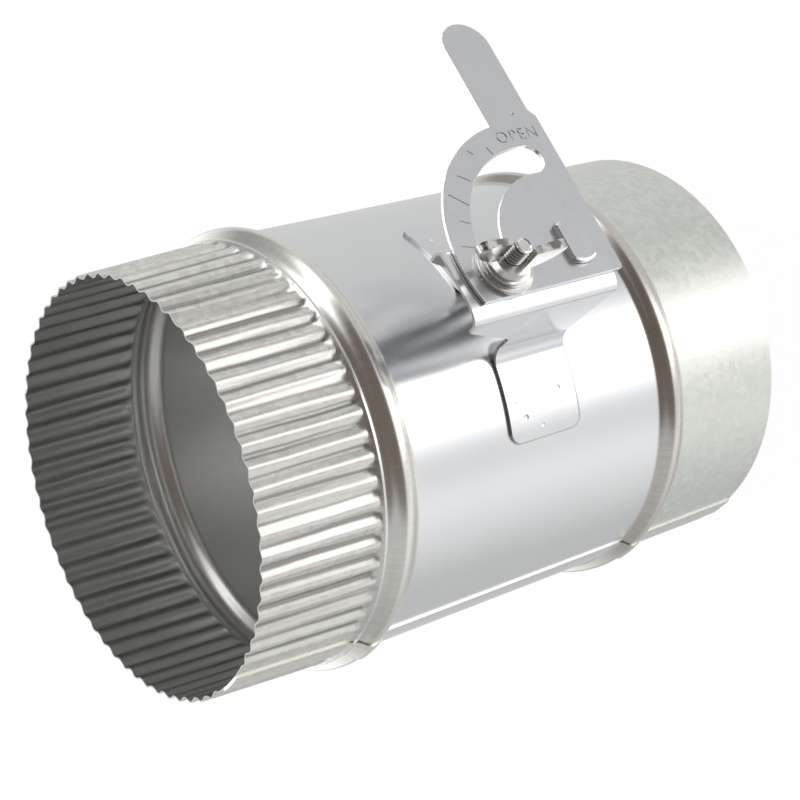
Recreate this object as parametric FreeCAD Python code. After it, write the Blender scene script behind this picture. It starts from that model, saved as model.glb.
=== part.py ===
import FreeCAD, Part
import math
import os

os.makedirs("parts", exist_ok=True)
V = FreeCAD.Vector

# Frame, in millimetres. Z is the duct's axis, with the plain end standing on z = 0 and
# the crimped end up. The bracket and its lock bolt face -Y. The blade is stored closed,
# so the handle points along +X, and it swings up towards +Z to open.

# Duct sleeve
LENGTH = 235.0          # end to end
R_BODY = 76.5           # outside radius of the plain body
SHEET = 0.55            # sheet thickness
R_IN = R_BODY - SHEET   # inside radius
BEAD_W = 7.2            # half width of a stiffening bead
BEAD_H = 3.4            # height of a bead above the body
BEAD_CREST = 5.4        # radius of the bead's crest
Z_BEAD_LOW = 55.5       # middle of the bead next to the plain end
Z_BEAD_HIGH = 181.3     # middle of the bead next to the crimps
Z_CRIMP = Z_BEAD_HIGH + BEAD_W
CRIMPS = 64             # pitches around the full circle
CRIMPS_AT_SEAM = 3      # pitches left flat where the seam runs
CRIMP_SHIFT = 0.73      # degrees from the seam's middle to the middle of that flat
CRIMP_BLEND = 1.8       # length over which a crimp fades out at the bead
CREST_BEAD = R_BODY - 0.3   # outside crest radius of the crimps beside the bead
CREST_RIM = R_BODY - 2.4    # outside crest radius of the crimps at the rim
CRIMP_DEPTH = 1.3       # crest to valley
SEAM_ANGLE = 181.5      # middle of the seam, degrees from +X
SEAM_SPAN = 8.0         # width of the seam's fold in degrees
SEAM_T = 0.6            # how far the fold stands above the sheet

# Control shaft and its axis
Z_SHAFT = 113.4         # height of the shaft's axis above the plain end
SHAFT_R = 5.2           # drive shaft radius
HEAD_R = 8.35           # radius of the shaft's head, which carries the lever
TANG_T = 10.6           # width across the head's two flats
RUN_FIT = 0.08          # radial play of a shaft in its hole
IDLE_R = 5.0            # idle pin radius

# Handle bracket
BR_SHEET = 1.1          # bracket sheet
BR_TOP = R_BODY + 37.3  # outer face of the top plate, from the duct's axis
BR_NEAR = 18.2          # shaft's line to the leg on the wide side, at the plate
BR_FAR = 9.3            # the same for the leg on the narrow side
BR_EASE_R = 9.6         # gentle bend before the wide side's crease, at mid sheet
BR_EASE = 37.0          # degrees that bend turns through
BR_CREASE = 1.5         # outside radius of the wide side's crease
BR_FOLD = 2.8           # outside fold radius on the narrow side
BR_BOTTOM_BEND = 7.5    # radius of the bend from leg to foot, at mid sheet
BR_LEAN = 0.075         # how far a leg leans in, per millimetre of height
BR_FLARE = 0.17         # how far the wide side's lip leans out at its free end
BR_NEAR_END = 35.0      # degrees from the shaft's line to the wide side's foot end
BR_FAR_END = 33.0       # the same on the narrow side
BR_FOOT_GAP = 0.04      # space between a foot and the sleeve
BR_Z0 = Z_SHAFT - 11.4  # end of the plate and legs nearest the plain end
BR_LEG_W = 31.2         # length of the legs and feet along the duct
BR_PLATE_L = 62.6       # length of the top plate along the duct
BR_LIP = 6.3            # depth of the lip at its free end, below the plate
BR_GUSSET = 22.4        # depth of the lip where it runs into the leg
FOOT_CORNER = 4.0       # corner radius of a foot

# Quadrant lever, drawn from the shaft's axis: a runs up the duct, t along the handle
LEVER_T = 1.5           # lever sheet
LEVER_GAP = 0.2         # play between the lever and the bracket
R_QUAD = 48.0           # outer edge of the quadrant
R_SLOT_IN = 27.5        # inner edge of the arc slot
R_SLOT_OUT = 38.2       # outer edge of the arc slot
R_SLOT = (R_SLOT_IN + R_SLOT_OUT) / 2
SLOT_HALF = (R_SLOT_OUT - R_SLOT_IN) / 2
SLOT_LOW = -9.0         # slot's closed end, degrees from a towards t
SLOT_HIGH = 93.8        # slot's open end
EDGE_A = -14.6          # straight edge behind the shaft
EDGE_T = -13.0          # straight edge below the shaft
SHOULDER_T = 49.5       # small step where the handle starts
HANDLE_LO = -12.5       # handle's edge nearest the plain end
HANDLE_HI = 7.1         # handle's edge nearest the crimps
HANDLE_R = (HANDLE_HI - HANDLE_LO) / 2
HANDLE_END = 88.8       # handle's tip from the shaft
TANG_UP = 2.3           # tang above the lever

# Lock bolt, washers and wing nut
BOLT_T = -3.07          # bolt's place along X
BOLT_A = 33.0           # bolt's place above the shaft
BOLT_R = 3.175          # quarter inch bolt
BOLT_SQ = 6.35          # square neck
BOLT_HEAD_R = 7.4
BOLT_HEAD_H = 3.4
BOLT_UP = 14.0          # bolt's end above the lever
FLAT_R = 10.3           # flat washer
FLAT_T = 1.6
LOCK_R = 8.4            # split lock washer
LOCK_T = 1.7
LOCK_GAP = 1.2
NUT_R = 7.2             # wing nut's boss at its base
NUT_TOP_R = 6.7
NUT_H = 3.0
WING_T = 2.8            # wing thickness
WING_OFF = 2.5          # each wing stands this far to one side of the bolt's axis
WING_SPAN = 16.7        # wing tip from the bolt's axis
WING_UP = 11.2          # wing top above the nut's base

# Blade and its fixings
BLADE_R = R_IN - 1.35
BLADE_T = 0.9
DRIVE_IN = BLADE_R - 28.6   # drive shaft's inner end, from the duct's axis
IDLE_IN = BLADE_R - 22.6    # idle pin's inner end
RIVET_R = 2.0
RIVET_HEAD_R = 3.6
RIVET_HEAD_H = 1.3
RING_R = 9.0            # push-on ring that keeps the idle pin in
RING_T = 0.8

Y_LEVER_IN = BR_TOP + LEVER_GAP
Y_LEVER = Y_LEVER_IN + LEVER_T


def save(name, shape):
    """Check a finished piece and write its file."""
    shape = shape.removeSplitter()
    solids = shape.Solids
    if len(solids) != 1:
        raise RuntimeError(name + " has " + str(len(solids)) + " solids")
    solid = solids[0]
    if not solid.isValid() or solid.Volume <= 0:
        raise RuntimeError(name + " is not a good solid")
    solid.exportStep("parts/" + name + ".step")


def face_of(edges):
    wire = Part.Wire(Part.__sortEdges__(edges))
    return Part.Face(wire)


def arc3(a, b, c):
    return Part.Arc(a, b, c).toShape()


def line(a, b):
    return Part.LineSegment(a, b).toShape()


def y_rod(radius, y0, y1, x=0.0, z=0.0):
    """A round bar along Y. y0 and y1 count outwards, towards -Y."""
    return Part.makeCylinder(radius, y1 - y0, V(x, -y0, z), V(0, -1, 0))


def y_prism(face, y0, y1):
    """Carry a face drawn in X and Z outwards from y0 to y1, both counted towards -Y."""
    moved = face.copy()
    moved.translate(V(0, -y0, 0))
    return moved.extrude(V(0, -(y1 - y0), 0))


# Duct sleeve: a beaded tube
def wall_edges(off):
    """One side of the sheet as edges in X and Z. off moves it inwards from the outside."""
    r = R_BODY - off
    span = (BEAD_W * BEAD_W + BEAD_H * BEAD_H) / (2 * BEAD_H)
    foot = span - BEAD_CREST
    rc = BEAD_CREST - off
    rf = foot + off
    edges = []
    z = 0.0
    turn = math.asin(BEAD_W / span)
    for zc in (Z_BEAD_LOW, Z_BEAD_HIGH):
        top = R_BODY + BEAD_H - BEAD_CREST
        side = R_BODY + foot
        start = V(r, 0, zc - BEAD_W)
        end = V(r, 0, zc + BEAD_W)
        edges.append(line(V(r, 0, z), start))
        half = turn / 2
        meet_x = top + rc * math.cos(turn)
        meet_z = rc * math.sin(turn)
        low = V(side - rf * math.cos(half), 0, zc - BEAD_W + rf * math.sin(half))
        high = V(side - rf * math.cos(half), 0, zc + BEAD_W - rf * math.sin(half))
        edges.append(arc3(start, low, V(meet_x, 0, zc - meet_z)))
        edges.append(arc3(V(meet_x, 0, zc - meet_z), V(top + rc, 0, zc), V(meet_x, 0, zc + meet_z)))
        edges.append(arc3(V(meet_x, 0, zc + meet_z), high, end))
        z = zc + BEAD_W
    return edges, z


def ring_profile(off_out, off_in):
    outer, z_end = wall_edges(off_out)
    inner, z_end = wall_edges(off_in)
    edges = outer + inner
    edges.append(line(V(R_BODY - off_out, 0, 0), V(R_BODY - off_in, 0, 0)))
    edges.append(line(V(R_BODY - off_out, 0, z_end), V(R_BODY - off_in, 0, z_end)))
    return face_of(edges)


def polar(r, deg, z):
    return V(r * math.cos(math.radians(deg)), r * math.sin(math.radians(deg)), z)


def crimp_ring(crest, depth, z):
    """Arcs of one crimped outline, in order around the duct."""
    pitch = 360.0 / CRIMPS
    middle = SEAM_ANGLE + CRIMP_SHIFT
    start = middle + pitch * CRIMPS_AT_SEAM / 2
    mid = crest - depth / 2
    edges = []
    for i in range(CRIMPS - CRIMPS_AT_SEAM):
        a = start + pitch * i
        p0 = polar(mid, a, z)
        p1 = polar(crest, a + pitch * 0.25, z)
        p2 = polar(mid, a + pitch * 0.5, z)
        p3 = polar(crest - depth, a + pitch * 0.75, z)
        p4 = polar(mid, a + pitch, z)
        edges.append(arc3(p0, p1, p2))
        edges.append(arc3(p2, p3, p4))
    flat = polar(mid, start, z)
    back = polar(mid, middle - pitch * CRIMPS_AT_SEAM / 2, z)
    edges.append(arc3(back, polar(mid, middle, z), flat))
    return edges


def crimped_part():
    outs = []
    ins = []
    rows = [(R_BODY, 0.0, Z_CRIMP)]
    rows.append((CREST_BEAD, CRIMP_DEPTH, Z_CRIMP + CRIMP_BLEND))
    rows.append((CREST_RIM, CRIMP_DEPTH, LENGTH))
    for crest, depth, z in rows:
        outs.append(crimp_ring(crest, depth, z))
        ins.append(crimp_ring(crest - SHEET, depth, z))
    faces = []
    for rings in (outs, ins):
        for low, high in zip(rings[:-1], rings[1:]):
            for a, b in zip(low, high):
                faces.append(Part.makeRuledSurface(a, b))
    for k in (0, -1):
        outline = Part.Face([Part.Wire(outs[k]), Part.Wire(ins[k])])
        if outline.Area < 0 or not outline.isValid():
            outline.fix(0.001, 0.001, 0.001)
        faces.append(outline)
    shell = Part.Shell(faces)
    shell.sewShape()
    return Part.makeSolid(shell)


tube = ring_profile(0.0, SHEET).revolve(V(0, 0, 0), V(0, 0, 1), 360)
crimped = crimped_part()

# The lock seam is a folded strip that follows the beads and runs the whole length
seam = ring_profile(-SEAM_T, SHEET / 2)
seam = seam.revolve(V(0, 0, 0), V(0, 0, 1), SEAM_SPAN)
seam.rotate(V(0, 0, 0), V(0, 0, 1), SEAM_ANGLE - SEAM_SPAN / 2)
mid_bead = CREST_BEAD - CRIMP_DEPTH / 2
mid_rim = CREST_RIM - CRIMP_DEPTH / 2
strip = [V(R_BODY - SHEET / 2, 0, Z_CRIMP), V(R_BODY + SEAM_T, 0, Z_CRIMP)]
strip.append(V(mid_bead + SEAM_T, 0, Z_CRIMP + CRIMP_BLEND))
strip.append(V(mid_rim + SEAM_T, 0, LENGTH))
strip.append(V(mid_rim - SHEET / 2, 0, LENGTH))
strip.append(V(mid_bead - SHEET / 2, 0, Z_CRIMP + CRIMP_BLEND))
strip.append(strip[0])
seam_top = Part.Face(Part.makePolygon(strip)).revolve(V(0, 0, 0), V(0, 0, 1), SEAM_SPAN)
seam_top.rotate(V(0, 0, 0), V(0, 0, 1), SEAM_ANGLE - SEAM_SPAN / 2)

sleeve = tube.fuse([crimped, seam, seam_top])
drive_hole = y_rod(SHAFT_R + RUN_FIT, 40, 100, 0, Z_SHAFT)
idle_hole = y_rod(IDLE_R + RUN_FIT, -100, -40, 0, Z_SHAFT)
sleeve = sleeve.cut([drive_hole, idle_hole])
save("duct_sleeve", sleeve)


# Handle bracket: a tall hat with unequal sides that stands off the sleeve. Each side is
# drawn as if it pointed along +X, and the wide one is then mirrored
def bracket_side(wide, off, lean, depth, z):
    """One side of the sheet, from the plate's middle out. off is 0 at mid sheet, depth is
    where the side ends below the plate's face, or None for a leg with its foot."""
    half = BR_SHEET / 2
    fold = (BR_CREASE if wide else BR_FOLD) - half
    ease = math.radians(BR_EASE) if wide else 0.0
    big = BR_EASE_R if wide else fold
    angle = math.atan(lean)
    fx = (BR_NEAR if wide else BR_FAR) - (fold + half) * math.cos(angle)
    gx = fx - (big - fold) * math.sin(ease)
    gy = BR_TOP - half - big
    fy = gy + (big - fold) * math.cos(ease)

    def on(cx, cy, r, turn):
        return V(cx + r * math.sin(turn), -(cy + r * math.cos(turn)), z)

    level = math.pi / 2 + angle
    start = on(gx, gy, big + off, 0)
    edges = [line(V(0, start.y, z), start)]
    if wide:
        edges.append(arc3(start, on(gx, gy, big + off, ease / 2), on(gx, gy, big + off, ease)))
    knee = on(fx, fy, fold + off, level)
    edges.append(arc3(on(fx, fy, fold + off, ease), on(fx, fy, fold + off, (ease + level) / 2), knee))
    if depth is not None:
        mid_knee = on(fx, fy, fold, level)
        run = (depth - BR_TOP - mid_knee.y) / math.cos(angle)
        last = V(knee.x - run * math.sin(angle), knee.y + run * math.cos(angle), z)
        edges.append(line(knee, last))
        return edges, last
    # the bottom bend's centre is outside the leg and just touches the foot's arc
    r_foot = R_BODY + BR_FOOT_GAP + half
    bend = BR_BOTTOM_BEND
    px = fx + (fold + bend) * math.cos(angle)
    py = fy - (fold + bend) * math.sin(angle)
    along = px * math.sin(angle) + py * math.cos(angle)
    away = px * px + py * py - (r_foot + bend) * (r_foot + bend)
    step = along - math.sqrt(along * along - away)
    cx = px - math.sin(angle) * step
    cy = py - math.cos(angle) * step
    rb = bend - off
    a0 = math.atan2(cx, cy)
    turn0 = level + math.pi
    turn1 = a0 + math.pi
    leg_end = on(cx, cy, rb, turn0)
    foot_start = on(cx, cy, rb, turn1)
    edges.append(line(knee, leg_end))
    edges.append(arc3(leg_end, on(cx, cy, rb, (turn0 + turn1) / 2), foot_start))
    a1 = math.radians(BR_NEAR_END if wide else BR_FAR_END)
    rr = r_foot + off
    last = on(0, 0, rr, a1)
    edges.append(arc3(foot_start, on(0, 0, rr, (a0 + a1) / 2), last))
    return edges, last


def bracket_section(wide, lean, depth, z):
    """Closed outline of one side of the sheet."""
    outer, end_out = bracket_side(wide, BR_SHEET / 2, lean, depth, z)
    inner, end_in = bracket_side(wide, -BR_SHEET / 2, lean, depth, z)
    top = [line(V(0, -BR_TOP, z), V(0, -BR_TOP + BR_SHEET, z))]
    wire = Part.Wire(Part.__sortEdges__(top + outer + inner + [line(end_out, end_in)]))
    if wide:
        wire = wire.mirror(V(0, 0, 0), V(1, 0, 0))
    return wire


Z_LEG = BR_Z0 + BR_LEG_W
lip_run = BR_PLATE_L - BR_LEG_W
pieces = []
for wide in (True, False):
    leg = Part.Face(bracket_section(wide, BR_LEAN, None, BR_Z0))
    pieces.append(leg.extrude(V(0, 0, BR_LEG_W)))
    # beyond the leg the lip gets shallower, and on the wide side it turns outwards
    stations = [(0.0, BR_GUSSET + 7.0), (0.8, BR_GUSSET + 4.6), (2.2, BR_GUSSET + 2.2)]
    stations += [(4.6, BR_GUSSET), (lip_run, BR_LIP)]
    rings = []
    for run, depth in stations:
        lean = BR_LEAN
        if wide:
            lean = BR_LEAN - (BR_LEAN + BR_FLARE) * run / lip_run
        rings.append(bracket_section(wide, lean, depth, Z_LEG + run))
    for low, high in zip(rings[:-1], rings[1:]):
        pieces.append(Part.makeLoft([low, high], True, True))
bracket = pieces[0].fuse(pieces[1:])

# rounded outer corners of the feet
for side, foot_end in ((-1, BR_NEAR_END), (1, BR_FAR_END)):
    for z, toward in ((BR_Z0, 1), (Z_LEG, -1)):
        low = 0 if toward > 0 else -FOOT_CORNER
        nib = Part.makeBox(FOOT_CORNER, 10, FOOT_CORNER, V(-FOOT_CORNER, -R_BODY - 7, low))
        round_at = V(-FOOT_CORNER, -R_BODY - 8, toward * FOOT_CORNER)
        nib = nib.cut(Part.makeCylinder(FOOT_CORNER, 12, round_at, V(0, 1, 0)))
        if side < 0:
            nib = nib.mirror(V(0, 0, 0), V(1, 0, 0))
        nib.translate(V(0, 0, z))
        nib.rotate(V(0, 0, 0), V(0, 0, 1), side * foot_end)
        bracket = bracket.cut(nib)

z_bolt = Z_SHAFT + BOLT_A
bracket = bracket.cut(y_rod(SHAFT_R + RUN_FIT, BR_TOP - 5, BR_TOP + 5, 0, Z_SHAFT))
square = BOLT_SQ + 0.1
bracket = bracket.cut(Part.makeBox(square, 10, square, V(BOLT_T - square / 2, -BR_TOP - 5, z_bolt - square / 2)))
save("handle_bracket", bracket)


# Quadrant lever
def at(a, t):
    """A point of the lever: a up the duct and t along the handle, from the shaft."""
    return V(t, 0, Z_SHAFT + a)


def lever_polar(r, deg):
    return at(r * math.cos(math.radians(deg)), r * math.sin(math.radians(deg)))


corner = 1.5
a_low = math.sqrt(R_QUAD * R_QUAD - EDGE_T * EDGE_T)
t_neck = math.sqrt(R_QUAD * R_QUAD - HANDLE_HI * HANDLE_HI)
ang_low = math.degrees(math.atan2(EDGE_T, a_low))
ang_neck = math.degrees(math.atan2(t_neck, HANDLE_HI))
t_round = HANDLE_END - HANDLE_R
a_mid = (HANDLE_HI + HANDLE_LO) / 2
k = corner * (1 - math.sqrt(0.5))
outline = [line(at(a_low, EDGE_T), at(EDGE_A + corner, EDGE_T))]
outline.append(arc3(at(EDGE_A + corner, EDGE_T), at(EDGE_A + k, EDGE_T + k), at(EDGE_A, EDGE_T + corner)))
outline.append(line(at(EDGE_A, EDGE_T + corner), at(EDGE_A, SHOULDER_T - 1.0)))
outline.append(line(at(EDGE_A, SHOULDER_T - 1.0), at(HANDLE_LO, SHOULDER_T + 2.0)))
outline.append(line(at(HANDLE_LO, SHOULDER_T + 2.0), at(HANDLE_LO, t_round)))
outline.append(arc3(at(HANDLE_LO, t_round), at(a_mid, HANDLE_END), at(HANDLE_HI, t_round)))
outline.append(line(at(HANDLE_HI, t_round), at(HANDLE_HI, t_neck)))
outline.append(arc3(at(HANDLE_HI, t_neck), lever_polar(R_QUAD, (ang_neck + ang_low) / 2), at(a_low, EDGE_T)))
lever = y_prism(face_of(outline), Y_LEVER_IN, Y_LEVER)

slot_mid = (SLOT_LOW + SLOT_HIGH) / 2
slot = [arc3(lever_polar(R_SLOT_IN, SLOT_LOW), lever_polar(R_SLOT_IN, slot_mid), lever_polar(R_SLOT_IN, SLOT_HIGH))]
slot.append(arc3(lever_polar(R_SLOT_OUT, SLOT_LOW), lever_polar(R_SLOT_OUT, slot_mid), lever_polar(R_SLOT_OUT, SLOT_HIGH)))
for deg, way in ((SLOT_LOW, -1), (SLOT_HIGH, 1)):
    c = lever_polar(R_SLOT, deg)
    turn = math.radians(deg)
    tip = c + V(math.cos(turn) * way * SLOT_HALF, 0, -math.sin(turn) * way * SLOT_HALF)
    slot.append(arc3(lever_polar(R_SLOT_IN, deg), tip, lever_polar(R_SLOT_OUT, deg)))
lever = lever.cut(y_prism(face_of(slot), Y_LEVER_IN - 1, Y_LEVER + 1))
tang_play = 0.05
bore = y_rod(HEAD_R + tang_play, Y_LEVER_IN - 1, Y_LEVER + 1, 0, Z_SHAFT)
flats = Part.makeBox(60, 10, TANG_T + 2 * tang_play, V(-30, -Y_LEVER - 4, Z_SHAFT - TANG_T / 2 - tang_play))
lever = lever.cut(bore.common(flats))
save("quadrant_lever", lever)

# Drive shaft: turned bar, split for the blade, with a wide two-flat head for the lever
y_seat = BR_TOP + 0.05
head = y_rod(HEAD_R, y_seat, Y_LEVER + TANG_UP, 0, Z_SHAFT)
head = head.common(Part.makeBox(40, 20, TANG_T, V(-20, -y_seat - 15, Z_SHAFT - TANG_T / 2)))
shaft = y_rod(SHAFT_R, DRIVE_IN, y_seat + 0.5, 0, Z_SHAFT).fuse(head)
edge_list = []
for e in shaft.Edges:
    if abs(e.BoundBox.YMin + Y_LEVER + TANG_UP) < 0.01 and abs(e.BoundBox.YMax + Y_LEVER + TANG_UP) < 0.01:
        edge_list.append(e)
shaft = shaft.makeChamfer(0.4, edge_list)
flat_z = 3.8
flat_y = BLADE_R - 3.1
for sign in (-1, 1):
    box_z = Z_SHAFT + sign * (flat_z + 10) - 10
    shaft = shaft.cut(Part.makeBox(40, flat_y - DRIVE_IN + 1, 20, V(-20, -flat_y, box_z)))
slit = Part.makeBox(40, BLADE_R + 0.3 - DRIVE_IN + 1, BLADE_T + 0.1)
slit.translate(V(-20, -(BLADE_R + 0.3), Z_SHAFT - BLADE_T / 2 - 0.05))
shaft = shaft.cut(slit)
drive_ys = (DRIVE_IN + 6, DRIVE_IN + 19)
for y in drive_ys:
    shaft = shaft.cut(Part.makeCylinder(RIVET_R + 0.03, 40, V(0, -y, Z_SHAFT - 20)))
save("control_shaft", shaft)

# Idle pin on the far side, split the same way
pin = y_rod(IDLE_R, -(R_BODY + 4.5), -IDLE_IN, 0, Z_SHAFT)
pin_flat = 3.6
pin_flat_y = BLADE_R - 2.1
for sign in (-1, 1):
    box_z = Z_SHAFT + sign * (pin_flat + 10) - 10
    pin = pin.cut(Part.makeBox(40, pin_flat_y - IDLE_IN + 1, 20, V(-20, IDLE_IN - 1, box_z)))
slit = Part.makeBox(40, BLADE_R + 0.3 - IDLE_IN + 1, BLADE_T + 0.1)
slit.translate(V(-20, IDLE_IN - 1, Z_SHAFT - BLADE_T / 2 - 0.05))
pin = pin.cut(slit)
idle_y = IDLE_IN + 10
pin = pin.cut(Part.makeCylinder(RIVET_R + 0.03, 40, V(0, idle_y, Z_SHAFT - 20)))
save("idle_pin", pin)

# Blade: a flat disc in the sleeve
blade = Part.makeCylinder(BLADE_R, BLADE_T, V(0, 0, Z_SHAFT - BLADE_T / 2))
for y in (-drive_ys[0], -drive_ys[1], idle_y):
    blade = blade.cut(Part.makeCylinder(RIVET_R + 0.03, 10, V(0, y, Z_SHAFT - 5)))
save("damper_blade", blade)


def rivet(y, flat):
    body = Part.makeCylinder(RIVET_R, 2 * flat, V(0, y, Z_SHAFT - flat))
    big = (RIVET_HEAD_R * RIVET_HEAD_R + RIVET_HEAD_H * RIVET_HEAD_H) / (2 * RIVET_HEAD_H)
    parts = []
    for sign in (-1, 1):
        ball = Part.makeSphere(big, V(0, y, Z_SHAFT + sign * (flat + 0.02 + RIVET_HEAD_H - big)))
        z_low = Z_SHAFT + flat + 0.02 if sign > 0 else Z_SHAFT - flat - 0.02 - RIVET_HEAD_H
        parts.append(ball.common(Part.makeCylinder(RIVET_HEAD_R, RIVET_HEAD_H, V(0, y, z_low))))
    stem = Part.makeCylinder(RIVET_R, 2 * flat + 0.2, V(0, y, Z_SHAFT - flat - 0.1))
    return stem.fuse(parts)


save("drive_rivet_inner", rivet(-drive_ys[0], flat_z))
save("drive_rivet_outer", rivet(-drive_ys[1], flat_z))
save("idle_rivet", rivet(idle_y, pin_flat))

# Push-on ring that keeps the idle pin in the wall
ring_y = R_BODY + 0.35
ring = y_rod(RING_R, -(ring_y + RING_T), -ring_y, 0, Z_SHAFT)
ring = ring.cut(y_rod(IDLE_R + 0.02, -100, -40, 0, Z_SHAFT))
save("push_ring", ring)

# Carriage bolt through the bracket, turned from its profile. The square neck is added
head_y1 = BR_TOP - BR_SHEET - 0.02
head_y0 = head_y1 - BOLT_HEAD_H
bolt_end = Y_LEVER + BOLT_UP
big = (BOLT_HEAD_R * BOLT_HEAD_R + BOLT_HEAD_H * BOLT_HEAD_H) / (2 * BOLT_HEAD_H)
sag = big - math.sqrt(big * big - BOLT_HEAD_R * BOLT_HEAD_R / 4)
turned = [arc3(V(0, -head_y0, 0), V(BOLT_HEAD_R / 2, -(head_y0 + sag), 0), V(BOLT_HEAD_R, -head_y1, 0))]
steps = [V(BOLT_HEAD_R, -head_y1, 0), V(BOLT_R, -head_y1, 0), V(BOLT_R, -(bolt_end - 0.8), 0)]
steps += [V(BOLT_R - 0.8, -bolt_end, 0), V(0, -bolt_end, 0), V(0, -head_y0, 0)]
for p0, p1 in zip(steps[:-1], steps[1:]):
    turned.append(line(p0, p1))
bolt = face_of(turned).revolve(V(0, 0, 0), V(0, 1, 0), 360)
neck = Part.makeBox(BOLT_SQ, 2.0, BOLT_SQ, V(-BOLT_SQ / 2, -(BR_TOP - 0.1), -BOLT_SQ / 2))
bolt = bolt.fuse(neck)
bolt.translate(V(BOLT_T, 0, z_bolt))
save("lock_bolt", bolt)

# Washers and wing nut
flat_y0 = Y_LEVER + 0.02
washer = y_rod(FLAT_R, flat_y0, flat_y0 + FLAT_T, BOLT_T, z_bolt)
washer = washer.cut(y_rod(BOLT_R + 0.4, BR_TOP, BR_TOP + BOLT_UP, BOLT_T, z_bolt))
save("flat_washer", washer)

lock_y0 = flat_y0 + FLAT_T + 0.02
lock = y_rod(LOCK_R, lock_y0, lock_y0 + LOCK_T, BOLT_T, z_bolt)
lock = lock.cut(y_rod(BOLT_R + 0.3, BR_TOP, BR_TOP + BOLT_UP, BOLT_T, z_bolt))
lock = lock.cut(Part.makeBox(2 * LOCK_R, 20, LOCK_GAP, V(BOLT_T, -lock_y0 - 15, z_bolt - LOCK_GAP / 2)))
save("lock_washer", lock)

nut_y0 = lock_y0 + LOCK_T + 0.02
boss = Part.makeCone(NUT_R, NUT_TOP_R, NUT_H, V(BOLT_T, -nut_y0, z_bolt), V(0, -1, 0))


def wing_at(along, up):
    """A point of a wing: along its span from the bolt's axis, and up from the nut's base."""
    return V(0, -up, along)


wing_in = BOLT_R + 0.4
foot_out = NUT_R - 1.0
pts = [wing_at(foot_out, 0.5), wing_at(WING_SPAN - 4.2, 3.4), wing_at(WING_SPAN - 0.9, 6.6)]
pts += [wing_at(WING_SPAN, 9.2), wing_at(WING_SPAN - 0.8, WING_UP - 0.5), wing_at(WING_SPAN - 2.2, WING_UP)]
side = Part.BSplineCurve()
side.interpolate(pts)
wing_edges = [line(wing_at(wing_in, 0.5), pts[0]), side.toShape()]
wing_edges.append(line(pts[-1], wing_at(wing_in, WING_UP - 1.4)))
wing_edges.append(line(wing_at(wing_in, WING_UP - 1.4), wing_at(wing_in, 0.5)))
wing = face_of(wing_edges).extrude(V(WING_T, 0, 0))
wing.translate(V(WING_OFF - WING_T / 2, 0, 0))
other = wing.copy()
other.rotate(V(0, 0, 0), V(0, 1, 0), 180)
wings = wing.fuse(other)
wings.translate(V(BOLT_T, -nut_y0, z_bolt))
# the wings clear the bolt above the threaded boss
wings = wings.cut(y_rod(BOLT_R + 0.4, nut_y0 + NUT_H - 0.6, nut_y0 + WING_UP + 2, BOLT_T, z_bolt))
nut = boss.fuse(wings)
nut = nut.cut(y_rod(BOLT_R + 0.06, BR_TOP, nut_y0 + WING_UP + 2, BOLT_T, z_bolt))
save("wing_nut", nut)
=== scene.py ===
import math

import bpy
from mathutils import Matrix, Vector


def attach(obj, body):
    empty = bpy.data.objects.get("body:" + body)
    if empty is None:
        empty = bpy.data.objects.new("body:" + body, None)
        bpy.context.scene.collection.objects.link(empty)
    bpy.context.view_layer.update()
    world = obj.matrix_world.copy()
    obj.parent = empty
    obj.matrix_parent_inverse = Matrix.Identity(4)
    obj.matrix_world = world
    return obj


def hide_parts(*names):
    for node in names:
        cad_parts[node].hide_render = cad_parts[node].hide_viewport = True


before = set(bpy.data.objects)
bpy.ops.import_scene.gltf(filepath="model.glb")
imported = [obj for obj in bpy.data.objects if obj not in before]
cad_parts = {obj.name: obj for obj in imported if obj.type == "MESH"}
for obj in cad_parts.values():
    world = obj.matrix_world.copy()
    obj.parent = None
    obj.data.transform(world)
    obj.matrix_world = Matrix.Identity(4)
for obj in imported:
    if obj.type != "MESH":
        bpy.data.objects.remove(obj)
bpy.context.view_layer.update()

# Camera. It stands where the photograph was taken from: in front of the crimped end, above
# the bracket, and rolled so that the closed handle points up. The sleeve stands on its
# plain end in this frame.
bpy.ops.object.select_all(action="DESELECT")
scene = bpy.context.scene
scene.view_settings.view_transform = "Standard"
camera_right = Vector((-0.45105642, -0.44778467, -0.77203432))
camera_up = Vector((0.85194219, -0.47381155, -0.22292849))
camera_back = Vector((-0.26597482, -0.75828194, 0.5952024))
camera_at = Vector((-0.18013, -0.52670, 0.53042))
bpy.ops.object.camera_add(location=camera_at)
camera = bpy.context.object
turn = Matrix((camera_right, camera_up, camera_back)).transposed().to_4x4()
camera.matrix_world = Matrix.Translation(camera_at) @ turn
camera.data.lens = 83.73
camera.data.sensor_width = 36
camera.data.clip_start = 0.01
scene.camera = camera

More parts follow.
